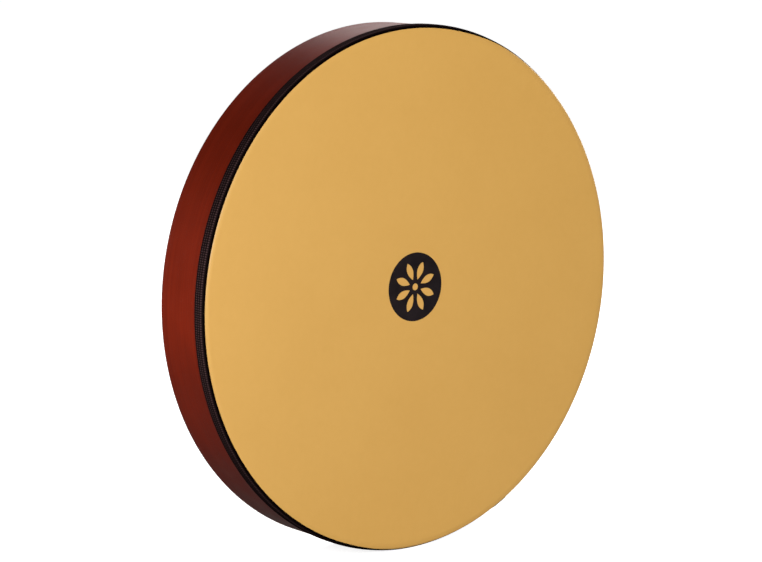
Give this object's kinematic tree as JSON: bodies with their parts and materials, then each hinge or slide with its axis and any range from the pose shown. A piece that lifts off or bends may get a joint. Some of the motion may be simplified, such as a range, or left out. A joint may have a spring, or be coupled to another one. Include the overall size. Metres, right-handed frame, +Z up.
{
  "type": "frame drum",
  "caption": "Large shallow hand drum with a tan synthetic head over a stained wooden hoop, a black woven edge ribbon and an open back, standing upright on its rim.",
  "frame": {"origin": "on the ground under the lowest point of the rim, midway along the drum's depth", "axes": "+Z up, the drum's axis along Y with the head facing -Y and the open back facing +Y, +X to the right as the head is seen"},
  "size_m": [0.561, 0.0728, 0.5611],
  "materials": {
    "stained_wood": "satin reddish-brown stain and lacquer",
    "tan_head": "smooth tan film with a fine matte texture",
    "black_ribbon": "fine ribbed black weave",
    "black_ink": "semi-matt black print"
  },
  "bodies": {
    "root": {"outer_shell_ply": "stained_wood", "second_shell_ply": "stained_wood", "third_shell_ply": "stained_wood", "fourth_shell_ply": "stained_wood", "fifth_shell_ply": "stained_wood", "inner_shell_ply": "stained_wood", "drum_head": "tan_head", "edge_ribbon": "black_ribbon", "head_emblem": "black_ink"}
  },
  "joints": []
}
